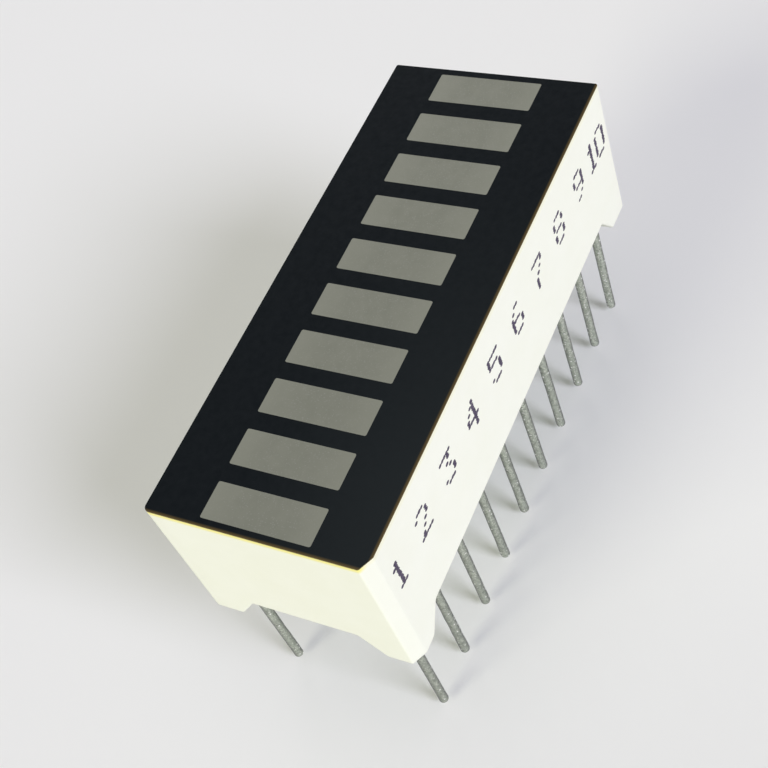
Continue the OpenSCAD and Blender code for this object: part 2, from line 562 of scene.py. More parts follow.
@dataclass(frozen=True)
class Limit:
    """A rise along one axis, from its least at the start to its most where it is full.

    Both places are in millimetres.
    """

    axis: str
    start: float
    full: float
    least: float = 0.0
    most: float = 1.0
    both_sides: bool = False

    def mask(self, surface: Surface) -> Socket:
        """Works out the rise over a surface, the same on both sides of the middle if asked.

        Args:
            surface: The material's wiring.

        Returns:
            The rise's socket.
        """
        place = surface.along(self.axis)
        place = surface.math("ABSOLUTE", place) if self.both_sides else place
        return surface.ramp(place, (self.start * MM, self.full * MM), (self.least, self.most))


@dataclass(frozen=True)
class Veil(Layer):
    """A tone that lies within one limit, or within several together."""

    limits: tuple[Limit, ...]
    merge: Merge = Merge.ALL

    def mask(self, surface: Surface) -> Socket:
        """Merges the limits' rises into one mask.

        Args:
            surface: The material's wiring.

        Returns:
            The mask's socket.
        """
        first, *others = [limit.mask(surface) for limit in self.limits]
        for other in others:
            first = surface.math(self.merge.value, first, other)
        return first


@dataclass(frozen=True)
class Finish:
    """A surface finish: two tones in cloudy patches, layers over them, and a grain in its relief.

    The patches' and the grain's sizes are lengths on the surface, and the grain's depth is its
    full height.
    """

    name: str
    light: Colour
    dark: Colour
    patch: float = 1.0 * MM
    detail: float = 3.0
    roughness: Span = (0.4, 0.5)
    metallic: float = 0.0
    specular: float = 0.5
    grain: float = 0.08 * MM
    grain_detail: float = 2.0
    grain_depth: float = 0.001 * MM
    layers: tuple[Layer, ...] = ()

    def relief(self, surface: Surface) -> Socket:
        """Returns the height of the surface's relief, from 0 to 1."""
        return surface.effect(Effect.mottle(), Scale=1 / self.grain, Detail=self.grain_detail)

    def skin(self, surface: Surface, shader: Socket) -> Socket:
        """Returns the shader that the surface shows, here the plain one."""
        return shader

    def material(self) -> Material:
        """Builds the material.

        Returns:
            A material whose colour, roughness and normal change over the surface.
        """
        material = bpy.data.materials.new(self.name)
        material.use_nodes = True
        material.node_tree.nodes.clear()
        surface = Surface(material.node_tree)
        patches = surface.effect(Effect.mottle(), Scale=1 / self.patch, Detail=self.detail)
        colour = surface.blend(patches, self.light, self.dark)
        for layer in self.layers:
            colour = layer.laid(surface, colour)
        relief = {"Distance": self.grain_depth, "Height": self.relief(surface)}
        values = {
            "Base Color": colour,
            "Roughness": surface.ramp(patches, (0.0, 1.0), self.roughness),
            "Metallic": self.metallic,
            "Specular IOR Level": self.specular,
            "Normal": surface.add("ShaderNodeBump", relief).outputs["Normal"],
        }
        shader = surface.add("ShaderNodeBsdfPrincipled", values).outputs["BSDF"]
        surface.add("ShaderNodeOutputMaterial", {"Surface": self.skin(surface, shader)})
        return material


@dataclass(frozen=True)
class LaminateFinish(Finish):
    """Lacquered glass-fibre board: the weave of its cloth shows faintly through the lacquer."""

    thread: float = 0.4 * MM
    threads_in_unit: float = 6.6
    distortion: float = 0.4

    def relief(self, surface: Surface) -> Socket:
        """Adds two crossed sets of waves, one to each direction of thread, to the plain grain.

        Args:
            surface: The material's wiring.

        Returns:
            The height's socket.
        """
        height = super().relief(surface)
        scale = 1 / (self.threads_in_unit * self.thread)
        values = {"Vector": surface.place, "Scale": scale, "Distortion": self.distortion}
        for axis in ("X", "Y"):
            waves = surface.add("ShaderNodeTexWave", values, wave_type="BANDS", bands_direction=axis)
            height = surface.math("ADD", height, waves.outputs["Fac"])
        return height


@dataclass(frozen=True)
class FloorFinish(Finish):
    """A floor that can't be seen from below."""

    def skin(self, surface: Surface, shader: Socket) -> Socket:
        """Keeps the plain shader on the floor's upper side and puts a clear one on its back.

        Args:
            surface: The material's wiring.
            shader: The plain shader.

        Returns:
            The mixed shader's socket.
        """
        back = surface.add("ShaderNodeNewGeometry").outputs["Backfacing"]
        clear = surface.add("ShaderNodeBsdfTransparent").outputs["BSDF"]
        return surface.add("ShaderNodeMixShader", {0: back, 1: shader, 2: clear}).outputs[0]


class Palette:
    """Every finish of the part, built once each and kept by its slot."""

    FINISHES = {
        Slot.WHITE_PLASTIC: Finish(
            "white_moulding", (0.90, 0.91, 0.785), (0.88, 0.89, 0.755), patch=2.5 * MM,
            roughness=(0.42, 0.5), grain=0.12 * MM, grain_depth=0.0015 * MM,
            layers=(
                Specks((0.45, 0.44, 0.4), pitch=0.8 * MM, size=0.045, share=0.05),
                Veil((0.92, 0.84, 0.26), (Limit("Z", 7.66, 7.86), Limit("X", -12.3, -12.55, 0.2))),
            ),
        ),
        Slot.BLACK_FILM: Finish(
            "black_face_film", (0.0090, 0.0112, 0.0131), (0.0066, 0.0086, 0.0103), patch=0.35 * MM,
            detail=4.0, roughness=(0.5, 0.62), specular=0.02, grain=0.05 * MM, grain_depth=0.0015 * MM,
            layers=(
                # Painted sheen: a lighter tone towards the -X end and the -Y side, standing in for the
                # film's sheen there
                Veil((0.0165, 0.0200, 0.0215), (Limit("X", 7.0, -9.0), Limit("Y", 1.5, -5.0))),
                Veil(
                    (0.120, 0.084, 0.034),
                    (Limit("X", -12.5, -12.63), Limit("Y", -4.9, -5.03)),
                    Merge.ANY,
                ),
            ),
        ),
        Slot.DIFFUSED_EPOXY: Finish(
            "grey_diffused_epoxy", (0.204, 0.208, 0.167), (0.187, 0.192, 0.153), patch=0.6 * MM,
            detail=5.0, roughness=(0.45, 0.55), specular=0.3, grain=0.06 * MM, grain_depth=0.0015 * MM,
            layers=(
                Specks((0.238, 0.241, 0.208), pitch=0.09 * MM, size=0.35, share=0.5),
                Veil((0.226, 0.230, 0.185), (Limit("Y", 1.1, 2.5, most=0.8, both_sides=True),)),
            ),
        ),
        Slot.BOARD_LAMINATE: LaminateFinish(
            "green_lacquered_board", (0.05, 0.15, 0.07), (0.035, 0.11, 0.05), patch=1.2 * MM,
            roughness=(0.3, 0.42), grain_depth=0.004 * MM,
        ),
        Slot.COPPER: Finish("bare_copper", (0.62, 0.32, 0.15), (0.5, 0.24, 0.1), metallic=1.0),
        Slot.SOLDER: Finish(
            "tin_solder", (0.62, 0.62, 0.63), (0.5, 0.5, 0.52), patch=0.2 * MM, metallic=1.0,
            roughness=(0.25, 0.4),
        ),
        Slot.SILVER_GLUE: Finish(
            "silver_filled_glue", (0.5, 0.5, 0.5), (0.38, 0.38, 0.38), patch=0.1 * MM, metallic=0.6
        ),
        Slot.CHIP_CRYSTAL: Finish(
            "diced_crystal", (0.12, 0.1, 0.09), (0.07, 0.055, 0.05), patch=0.15 * MM,
            roughness=(0.15, 0.3),
        ),
        Slot.GOLD_WIRE: Finish(
            "drawn_gold", (0.85, 0.62, 0.24), (0.75, 0.52, 0.18), patch=0.05 * MM, metallic=1.0,
            roughness=(0.2, 0.3),
        ),
        Slot.TINNED_PIN: Finish(
            "dull_tinned_pin", (0.68, 0.73, 0.62), (0.31, 0.335, 0.28), patch=0.14 * MM, detail=5.0,
            roughness=(0.22, 0.4), metallic=0.8, grain=0.1 * MM, grain_depth=0.015 * MM,
            layers=(
                Specks((0.78, 0.80, 0.70), pitch=0.07 * MM, size=0.6, share=0.3),
                # Painted shade: darker where the pin turns away from the eye, standing in for the
                # darker reflections at its edges
                TurnedAway((0.05, 0.055, 0.05), turn=(0.4, 0.82), most=0.95),
                # Painted glints: sparse near-white dots standing in for highlights on the tin
                Specks((0.98, 0.98, 0.94), pitch=0.17 * MM, size=0.34, share=0.24),
            ),
        ),
    }
    FILM_EDGE = Finish(
        "brown_film_edge", (0.17, 0.13, 0.02), (0.10, 0.075, 0.015), patch=0.3 * MM
    )
    PRINT_INK = Finish(
        "violet_black_ink", (0.075, 0.055, 0.10), (0.045, 0.033, 0.065), patch=0.1 * MM,
        roughness=(0.45, 0.6), specular=0.3,
    )

    def __init__(self) -> None:
        """Builds the slots' materials."""
        self.by_slot = {slot: finish.material() for slot, finish in self.FINISHES.items()}
        self.film_edge = self.FILM_EDGE.material()
        self.print_ink = self.PRINT_INK.material()


# --------------------------------------------------------------------------- the body's plan


@dataclass(frozen=True)
class Measures:
    """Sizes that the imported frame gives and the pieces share."""

    body: Array
    room: Array
    board: Array
    board_back: float
    foot_height: float
    moulding_top: float
    face: float
    bars: Array

    @classmethod
    def taken(cls) -> "Measures":
        """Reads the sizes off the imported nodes.

        Returns:
            The measures, with each bar's place along the body in `bars`.
        """
        names = ("reflector_housing", "circuit_board", "face_film", "epoxy_fill", "housing_feet")
        lows, highs = np.array([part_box(name) for name in names]).swapaxes(0, 1)
        housing, board, film, fill, feet = range(len(names))
        across = highs[board, :2] - lows[board, :2]
        return cls(
            body=highs[housing, :2] - lows[housing, :2],
            room=across + 2 * (highs[fill, 1] - highs[board, 1]),
            board=across,
            board_back=lows[board, 2],
            foot_height=highs[feet, 2],
            moulding_top=lows[film, 2],
            face=highs[film, 2],
            bars=np.array([centre_of(numbered("pin", k))[0] for k in range(1, BARS + 1)]),
        )


@dataclass(frozen=True)
class BarShape:
    """One bar's hollow and casting: a round-cornered window, a small ledge and a tapered well."""

    window: RoundedBox = RoundedBox(1.7 * MM, 5.0 * MM, 0.08 * MM)
    lip: float = 7.55 * MM
    lip_step: float = 0.06 * MM
    floor: RoundedBox = RoundedBox(1.0237 * MM, 2.5012 * MM, 0.1 * MM)
    floor_height: float = 2.85 * MM

    def rows(self, place: float, top: float) -> list[Array]:
        """Rows of points down the well: window, ledge, and taper to the floor.

        Args:
            place: Where the bar stands along the body.
            top: Height of the highest row.

        Returns:
            The rows, each of shape (n, 3).
        """
        window, ledge = self.window.loop(place), self.window.loop(place, self.lip_step)
        return [
            at_height(window, top),
            at_height(window, self.lip),
            at_height(ledge, self.lip),
            at_height(self.floor.loop(place), self.floor_height),
        ]


@dataclass(frozen=True)
class BodyPlan:
    """The body from above: the outline of its walls and that of the room inside them.

    Both outlines are walked anticlockwise with the same number of points, so that a section can be
    carried round the wall between them.
    """

    size: Measures
    bar: BarShape = BarShape()
    draft: float = 0.014 * MM
    cut: Span = (0.65 * MM, 0.35 * MM)
    cut_radius: float = 0.12 * MM
    corner_radii: Triple = (0.12 * MM, 0.1 * MM, 0.28 * MM)
    room_radius: float = 0.2 * MM
    arc_steps: int = 9
    block_width: float = 6.46 * MM
    foot: Span = (1.45 * MM, 1.5 * MM)
    foot_slope: float = 1.0 * MM
    foot_bend: float = 0.1 * MM
    fine_step: float = 0.05 * MM
    steps_before_bend: int = 4
    coarse_steps: int = 9
    mark_digits: int = 5

    @property
    def foot_reach(self) -> Array:
        """How far from the middle the feet start, along and across the body."""
        return self.size.body / 2 - self.foot

    def _marks(self, axis: int) -> Array:
        """Places along one straight side, close together where a foot's slope bends.

        The sides across the body also have one at each edge of the block of wells.

        Args:
            axis: 0 for the sides along the body and 1 for those across it.

        Returns:
            The places, from one end of the side to the other.
        """
        stop = self.size.room[axis] / 2 - self.room_radius
        start = self.foot_reach[axis] - self.foot_slope - self.steps_before_bend * self.fine_step
        fine = np.arange(start, stop - self.fine_step / 2, self.fine_step)
        coarse = np.linspace(0, start, self.coarse_steps)
        block = [self.block_width / 2] if axis == 1 else []
        places = np.concatenate([coarse, fine, [stop], block])
        half = np.unique(np.round(places / MM, self.mark_digits)) * MM
        return np.concatenate([-half[:0:-1], half])

    def _fillet(self, before: Array, corner: Array, after: Array, radius: float) -> Outline:
        """Rounds the corner between two straight sides.

        The arc's centre lies radius * tan(turn / 2) back along the first side and one radius in.

        Args:
            before: A point on the side that runs into the corner.
            corner: The sharp corner.
            after: A point on the side that leaves it.
            radius: The arc's radius.

        Returns:
            The arc.
        """
        first = (corner - before) / np.linalg.norm(corner - before)
        second = (after - corner) / np.linalg.norm(after - corner)
        turn = np.arctan2(first[0] * second[1] - first[1] * second[0], first @ second)
        inward = np.array([-first[1], first[0]])
        centre = corner - first * radius * np.tan(turn / 2) + inward * radius
        return Outline.arc(centre, radius, np.arctan2(-inward[1], -inward[0]), turn, self.arc_steps)

    def _joined(self, half: Array, corners: list[Outline]) -> Outline:
        """Joins the four straight sides, each followed by its corner.

        Args:
            half: Half the outline's size, along and across the body.
            corners: The four corners, from the one after the side at -Y.

        Returns:
            The whole outline.
        """
        parts = []
        for k, (normal, corner) in enumerate(zip(SIDES, corners)):
            marks = self._marks(k % 2)
            along = np.array([-normal[1], normal[0]])
            side = half * normal + marks[:, None] * along
            parts += [Outline(side, np.tile(normal, (len(marks), 1))), corner]
        return Outline.joined(parts)

    @cached_property
    def outlines(self) -> tuple[Outline, Outline]:
        """The wall's outline and the room's, both walked from the side at -Y.

        Returns:
            The two outlines. Where the wall's corner has one arc, so has the room's, and where the
            wall is cut it has two.
        """
        half, room = self.size.body / 2, self.size.room / 2
        *sharp, last = half * CORNERS
        cut = [last + [0, self.cut[1]], last + [self.cut[0], 0]]
        turns = [cut[1], *sharp, cut[0]]
        outer = [self._fillet(*turns[k : k + 3], radius) for k, radius in enumerate(self.corner_radii)]
        cut_start = self._fillet(sharp[2], *cut, self.cut_radius)
        outer.append(Outline.joined([cut_start, self._fillet(*cut, sharp[0], self.cut_radius)]))
        inner = []
        for k, corner in enumerate(CORNERS):
            centre, steps = (room - self.room_radius) * corner, len(outer[k].points) + 2
            arc = Outline.arc(centre, self.room_radius, (k - 1) * QUARTER, QUARTER, steps)
            inner.append(Outline(arc.points[1:-1], arc.normals[1:-1]))
        return self._joined(half, outer), self._joined(room, inner)

    def lean(self, height: Array | float) -> Array:
        """Returns how far in the wall leans: the draft times its share of the moulding's height."""
        return self.draft * np.clip(height / self.size.moulding_top, 0, 1)

    def wall_row(self, inset: float, height: Array | float) -> Array:
        """Returns the wall's outline at a height, moved in by an inset and by its lean."""
        wall, _ = self.outlines
        return wall.row(inset + self.lean(height), height)

    def crest(self, edge: float, top: float, steps: int) -> list[Array]:
        """Rows over the wall's upper edge, which is a quarter circle.

        Args:
            edge: The circle's radius.
            top: Height of the flat face that it leaves.
            steps: Number of rows.

        Returns:
            The rows, from the face down, each of shape (n, 3).
        """
        turns = np.linspace(0, QUARTER, steps)
        return [self.wall_row(edge * (1 - np.sin(a)), top - edge * (1 - np.cos(a))) for a in turns]

    def rim(self, points: Array) -> Array:
        """Height of the wall's lower edge: 0 under the feet, and the foot's height between them.

        Along each side it is the height times a ramp over the slope, whose two bends are eased.
        The higher of the two sides' values counts.

        Args:
            points: Points of shape (n, 2).

        Returns:
            The heights, of shape (n,).
        """
        inside = self.foot_reach - np.abs(points)
        ramp = soft_bend(inside, self.foot_bend) - soft_bend(inside - self.foot_slope, self.foot_bend)
        return (ramp / self.foot_slope).max(axis=1) * self.size.foot_height


# --------------------------------------------------------------------------- the sub-assemblies


@dataclass
class SubAssembly:
    """Something that follows the body's plan and wears finishes from the palette."""

    palette: Palette
    plan: BodyPlan
    patches: Patchwork = field(default_factory=Patchwork)

    @property
    def size(self) -> Measures:
        """The shared measures."""
        return self.plan.size

    def settle(
        self, name: str, slot: Slot, *replaced: str, finishes: tuple[Material, ...] = ()
    ) -> None:
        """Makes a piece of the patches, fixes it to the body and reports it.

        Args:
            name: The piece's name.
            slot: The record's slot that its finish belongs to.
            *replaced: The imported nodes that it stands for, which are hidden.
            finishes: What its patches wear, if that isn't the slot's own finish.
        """
        piece = self.patches.piece(name, *(finishes or [self.palette.by_slot[slot]]))
        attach(piece, BODY)
        if replaced:
            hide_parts(*replaced)
        log.info("%s: %d faces, stands for %d nodes", name, len(piece.data.polygons), len(replaced))

    def build(self) -> None:
        """Builds its pieces, dresses them and reports them."""
        raise NotImplementedError


@dataclass
class ReflectorMoulding(SubAssembly):
    """The white moulding: walls on four feet, a face with ten windows, and ten tapered wells.

    The shares say where rows of points lie between the two ends of a straight stretch.
    """

    edge: float = 0.03 * MM
    sole_edge: float = 0.14 * MM
    inner_edge: float = 0.06 * MM
    edge_steps: int = 6
    channel_top: float = 7.15 * MM
    side_shares: tuple[float, ...] = (0.01, 0.2, 0.4, 0.6, 0.8, 0.97)
    sole_shares: tuple[float, ...] = (0.04, 0.35, 0.65, 0.96)
    inner_shares: tuple[float, ...] = (0.03, 0.3, 0.6, 1.0)

    def _walls(self) -> tuple[Array, Array]:
        """Carries the wall's section round the body: down from the face, under, and up inside.

        Its lower edges are quarter circles, and between them the sole runs straight from the wall
        to the room.

        Returns:
            The outline of the face and that of the room.
        """
        wall, room = self.plan.outlines
        low, low_inside = self.plan.rim(wall.points), self.plan.rim(room.points)
        turns = np.linspace(0, QUARTER, self.edge_steps)
        bends = list(zip(1 - np.sin(turns), 1 - np.cos(turns)))
        crest = self.plan.crest(self.edge, self.size.moulding_top, self.edge_steps)
        start, stop = self.size.moulding_top - self.edge, low + self.sole_edge
        side = [self.plan.wall_row(0.0, start + (stop - start) * t) for t in self.side_shares]
        hem = [
            self.plan.wall_row(self.sole_edge * fall, low + self.sole_edge * rise)
            for rise, fall in bends
        ]
        inner_hem = [
            room.row(-self.inner_edge * rise, low_inside + self.inner_edge * fall)
            for rise, fall in bends
        ]
        sole = [hem[-1] * (1 - t) + inner_hem[0] * t for t in self.sole_shares]
        start, stop = low_inside + self.inner_edge, self.plan.bar.floor_height
        inside = [room.row(0.0, start + (stop - start) * t) for t in self.inner_shares]
        self.patches.strip(crest + side + hem + sole + inner_hem + inside)
        return crest[0][:, :2], room.points

    def _channels(self, room: Array) -> None:
        """Hollows the room out beside the block of wells, at both sides, up to its ceiling.

        Args:
            room: The room's outline.
        """
        for side in (1, -1):
            kept = np.flatnonzero(side * room[:, 1] > self.plan.block_width / 2 - SLACK)
            jumps = np.diff(kept, prepend=kept[-1]) % len(room)
            channel = room[np.roll(kept, -np.argmax(jumps))]
            heights = (self.plan.bar.floor_height, self.channel_top)
            self.patches.strip([at_height(channel, height) for height in heights])
            self.patches.flat(channel, [], self.channel_top, Facing.DOWN)

    def build(self) -> None:
        """Builds the moulding as one closed skin and dresses it."""
        face, room = self._walls()
        self._channels(room)
        top, bottom = self.size.moulding_top, self.plan.bar.floor_height
        wells = [self.plan.bar.rows(place, top) for place in self.size.bars]
        for rows in wells:
            self.patches.strip(rows[::-1])
        block = np.abs(room[:, 1]) < self.plan.block_width / 2 + SLACK
        ends = [room[block & (side * room[:, 0] > 0)] for side in (1, -1)]
        floors, windows = [rows[-1][:, :2] for rows in wells], [rows[0][:, :2] for rows in wells]
        self.patches.flat(np.concatenate(ends), floors, bottom, Facing.DOWN)
        self.patches.flat(face, windows, top, Facing.UP)
        self.settle("reflector_moulding", Slot.WHITE_PLASTIC, "reflector_housing", "housing_feet")


@dataclass
class FaceFilm(SubAssembly):
    """The black film over the face, whose cut side shows brown."""

    edge: float = 0.012 * MM
    edge_steps: int = 5
    side_shares: Span = (0.9, 0.0)

    def build(self) -> None:
        """Builds the film with its ten windows as one closed skin and dresses it."""
        top, bottom = self.size.face, self.size.moulding_top
        crest = self.plan.crest(self.edge, top, self.edge_steps)
        outline, rise = crest[-1][:, :2], top - self.edge - bottom
        side = [at_height(outline, bottom + rise * share) for share in self.side_shares]
        self.patches.strip(crest)
        self.patches.strip([crest[-1], *side], finish=1)
        windows = [self.plan.bar.window.loop(place) for place in self.size.bars]
        for window in windows:
            self.patches.strip([at_height(window, height) for height in (bottom, top)])
        self.patches.flat(crest[0][:, :2], windows, top, Facing.UP)
        self.patches.flat(outline, windows, bottom, Facing.DOWN)
        finishes = self.palette.by_slot[Slot.BLACK_FILM], self.palette.film_edge
        self.settle("face_film_skin", Slot.BLACK_FILM, "face_film", finishes=finishes)


@dataclass
class EpoxyCasting(SubAssembly):
    """The grey casting: ten bars, flush in their windows, and the potting round board and pins.

    The bar shares are the insets of a bar's rows, as shares of half its width.
    """

    dish: float = 0.012 * MM
    dish_reach: float = 0.12 * MM
    bar_shares: tuple[float, ...] = (1.0, 0.85, 0.65, 0.45, 0.3, 0.2, 0.12, 0.06, 0.03, 0.01, 0.0)
    gap_depth: float = 0.5 * MM
    wall_climb: float = 0.2 * MM
    board_creep: float = 0.35 * MM
    wall_steps: int = 10
    pin_climb: float = 0.14 * MM
    pin_creep: float = 0.18 * MM
    pin_radius: float = 0.25 * MM
    pin_steps: int = 7
    round_steps: int = 32

    def _bars(self) -> None:
        """Casts the bars. From its rim the face sinks by the dish times 1 - exp(-inset / reach)."""
        bar = self.plan.bar
        insets = bar.window.length / 2 * np.array(self.bar_shares)
        heights = self.size.face - self.dish * (1 - np.exp(-insets / self.dish_reach))
        for place in self.size.bars:
            face = [at_height(bar.window.loop(place, d), z) for d, z in zip(insets, heights)]
            well = bar.rows(place, self.size.face - self.dish)
            middle = np.broadcast_to(well[-1].mean(axis=0), well[-1].shape)
            self.patches.strip([*face, *well, middle])

    def _potting(self) -> None:
        """Fills the gap round the board, with a hollow fillet from the wall to the board's back.

        The fillet is a quarter ellipse: it leaves the wall upwards and meets the board flat.
        """
        room = self.plan.outlines[1].points
        back, gap = self.size.board_back, (self.size.room - self.size.board)[0] / 2
        turns = np.linspace(0, QUARTER, self.wall_steps)
        spread = (gap + self.board_creep) * (1 - np.cos(turns))
        fillet = back - self.wall_climb * (1 - np.sin(turns))
        insets = np.concatenate([spread, [gap, gap, 0.0]])
        heights = np.concatenate([fillet, [back, back + self.gap_depth, back + self.gap_depth]])
        rows = [at_height(room * (1 - 2 * d / self.size.room), z) for d, z in zip(insets, heights)]
        self.patches.strip(rows, ring=True)

    def _collars(self) -> None:
        """Puts a hollow fillet round each pin where it leaves the board, of the same section."""
        turns = np.linspace(QUARTER, 0, self.pin_steps)
        spread = self.pin_radius + self.pin_creep * (1 - np.cos(turns))
        fillet = self.size.board_back - self.pin_climb * (1 - np.sin(turns))
        radii, heights = np.append(spread, self.pin_radius), np.append(fillet, self.size.board_back)
        for number in range(1, PINS + 1):
            middle = centre_of(numbered("pin", number))[:2]
            rounds = [Outline.arc(middle, r, 0.0, TURN, self.round_steps + 1) for r in radii]
            rows = [at_height(turned.points[:-1], z) for turned, z in zip(rounds, heights)]
            self.patches.strip(rows, ring=True)

    def build(self) -> None:
        """Builds the casting's skins and dresses them."""
        self._bars()
        self._potting()
        self._collars()
        self.settle("epoxy_casting", Slot.DIFFUSED_EPOXY, "epoxy_fill")


@dataclass
class TinnedPins(SubAssembly):
    """The twenty headed pins, dull with tin and a little lumpy.

    The head's section is given as shares of its radius and of its height.
    """

    lead: float = 0.216 * MM
    swell: float = 0.009 * MM
    swell_length: float = 1.6 * MM
    tip_length: float = 0.13 * MM
    tip_power: float = 3.6
    tip_steps: int = 11
    shank: float = 0.28 * MM
    head: float = 0.33 * MM
    head_height: float = 0.12 * MM
    head_section: tuple[Span, ...] = (
        (0.0, 1.0), (0.5, 1.0), (0.675, 1.0), (0.75, 0.97), (0.85, 0.62), (0.97, 0.2), (1.0, 0.08),
        (1.0, 0.0),
    )
    lump: float = 0.003 * MM
    lump_lengths: Span = (0.45 * MM, 2.6 * MM)
    lump_turns: int = 4
    waves: int = 14
    steps: int = 48
    row_pitch: float = 0.07 * MM

    def _profile(self, low: float, high: float) -> tuple[Array, Array]:
        """Radius and height of each row, from the head's middle to the tip's.

        The lead widens towards its tip by the swelling times a squared ramp. The tip is a
        superellipse, and the shank is a cone from the feet's level to the head.

        Args:
            low: Height of the tip.
            high: Height of the head.

        Returns:
            The radii and the heights.
        """
        neck, start = high - self.head_height, low + self.tip_length
        head_radii, head_heights = np.array(self.head_section).T
        lead_heights = np.linspace(neck, start, int((neck - start) / self.row_pitch))
        ramp = np.clip((low + self.swell_length - lead_heights) / self.swell_length, 0, 1)
        cone = np.clip(lead_heights / neck, 0, 1)
        lead_radii = self.lead + (self.shank - self.lead) * cone + self.swell * ramp**2
        turns = np.linspace(0, QUARTER, self.tip_steps)[1:]
        tip_radii = lead_radii[-1] * np.cos(turns[:-1]) ** (2 / self.tip_power)
        tip_heights = start - self.tip_length * np.sin(turns) ** (2 / self.tip_power)
        radii = np.concatenate([self.head * head_radii, lead_radii, tip_radii, [0.0]])
        head_heights = neck + self.head_height * head_heights
        return radii, np.concatenate([head_heights, lead_heights, tip_heights])

    def _lumps(self, number: int, around: Array, heights: Array) -> Array:
        """Unevenness of the tin: a sum of sines round and along the pin.

        It fades out towards the board and the very tip.

        Args:
            number: The pin's number, which seeds its own pattern.
            around: Angles, of shape (columns,).
            heights: Heights, of shape (rows,).

        Returns:
            Additions to the radius, of shape (rows, columns).
        """
        chance = np.random.default_rng(number)
        each = (self.waves, 1, 1)
        turns = chance.integers(0, self.lump_turns, each)
        lengths = chance.uniform(*self.lump_lengths, each)
        phases = chance.uniform(0, TURN, each)
        sizes = chance.normal(0.0, 1.0, each) * (lengths / lengths.max()) ** 0.5
        sines = np.sin(turns * around + TURN * heights[:, None] / lengths + phases)
        pattern = (sizes * sines).sum(axis=0) / np.sqrt(self.waves / 2)
        fade = np.clip((self.size.board_back - heights) / MM, 0, 1)
        fade *= np.clip((heights - heights[-1]) / self.tip_length, 0, 1)
        return self.lump * pattern * fade[:, None]

    def build(self) -> None:
        """Builds each pin as one closed surface of revolution and dresses it."""
        around = np.arange(self.steps) * TURN / self.steps
        for number in range(1, PINS + 1):
            node = numbered("pin", number)
            middle = centre_of(node)
            low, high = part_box(node)
            radii, heights = self._profile(low.z, high.z)
            reach = radii[:, None] + self._lumps(number, around, heights)
            reach[[0, -1]] = 0.0
            x, y = middle[0] + reach * np.cos(around), middle[1] + reach * np.sin(around)
            self.patches = Patchwork()
            z = np.broadcast_to(heights[:, None], x.shape)
            self.patches.strip(np.stack([x, y, z], axis=-1))
            self.settle(numbered("tinned_pin", number), Slot.TINNED_PIN, node)


@dataclass
class BarNumbers(SubAssembly):
    """The numbers of the bars, printed on the side at -Y in rows of small raised ink dots.

    A dot's section is given as shares of its radius. It falls from the middle as 1 - r^2, down to a
    flat root just inside the wall. A digit has five columns of dots, with four gaps between them.
    """

    middle_height: float = 5.45 * MM
    column_pitch: float = 0.21 * MM
    row_pitch: float = 0.24 * MM
    digit_pitch: float = 1.05 * MM
    printed: Span = (-11.75 * MM, 12.2 * MM)
    dot: Span = (0.125 * MM, 0.085 * MM)
    dot_height: float = 0.005 * MM
    dome_shares: tuple[float, ...] = (0.0, 0.45, 0.75, 0.93, 1.0)
    root_shares: Span = (1.0, 0.0)
    root: float = 0.003 * MM
    jitter: float = 0.012 * MM
    scale: Span = (0.85, 1.15)
    columns: int = 12
    seed: int = 7

    GAPS = 4
    DIGITS = (
        "01110 10001 10001 10001 10001 10001 01110",
        "00100 01100 00100 00100 00100 00100 01110",
        "01110 10001 00001 00010 00100 01000 11111",
        "11111 00010 00100 00010 00001 10001 01110",
        "00010 00110 01010 10010 11111 00010 00010",
        "11111 10000 11110 00001 00001 10001 01110",
        "00110 01000 10000 11110 10001 10001 01110",
        "11111 00001 00010 00100 01000 01000 01000",
        "01110 10001 10001 01110 10001 10001 01110",
        "01110 10001 10001 01111 00001 00010 01100",
    )

    def _digit(self, digit: str) -> Array:
        """Places of one digit's dots about its middle, with one more between two in a column.

        Args:
            digit: The digit.

        Returns:
            The places, along the side and up it, of shape (n, 2).
        """
        rows = self.DIGITS[int(digit)].split()[::-1]
        marks = np.array([list(row) for row in rows]) == "1"
        doubled = np.zeros((2 * len(marks) - 1, marks.shape[1]), bool)
        doubled[::2], doubled[1::2] = marks, marks[:-1] & marks[1:]
        up, along = np.nonzero(doubled)
        middle_row, middle_column = (len(marks) - 1) / 2, (marks.shape[1] - 1) / 2
        return np.column_stack(
            [(along - middle_column) * self.column_pitch, (up / 2 - middle_row) * self.row_pitch]
        )

    def _dots(self) -> Array:
        """Places of all the dots' middles.

        A number stands at its bar's middle, or as near to it as the printed stretch allows.

        Returns:
            The places, along the side and up it, of shape (n, 2).
        """
        places = []
        for number, bar in enumerate(self.size.bars, start=1):
            digits = str(number)
            between = (len(digits) - 1) * self.digit_pitch + self.GAPS * self.column_pitch
            half = between / 2 + self.dot[0]
            middle = np.clip(bar, self.printed[0] + half, self.printed[1] - half)
            for k, digit in enumerate(digits):
                shift = (k - (len(digits) - 1) / 2) * self.digit_pitch
                places.append(self._digit(digit) + [middle + shift, self.middle_height])
        return np.concatenate(places)

    def build(self) -> None:
        """Builds every dot as a small closed dome on the leaning wall and dresses them."""
        dots = self._dots()
        chance = np.random.default_rng(self.seed)
        dots = dots + chance.normal(0, self.jitter, dots.shape)
        scale = chance.uniform(*self.scale, (len(dots), 1, 1))
        angle = np.arange(self.columns) * TURN / self.columns
        shares = np.array([*self.dome_shares, *self.root_shares])[:, None]
        x = dots[:, :1, None] + shares * np.cos(angle) * self.dot[0] * scale
        z = dots[:, 1:, None] + shares * np.sin(angle) * self.dot[1] * scale
        dome = self.dot_height * (1 - np.square(self.dome_shares))
        above = np.append(dome, [-self.root, -self.root])[:, None]
        y = self.plan.lean(z) - self.size.body[1] / 2 - above
        self.patches.copies(np.stack([x, y, z], axis=-1))
        self.settle("bar_numbers", Slot.BLACK_FILM, finishes=(self.palette.print_ink,))


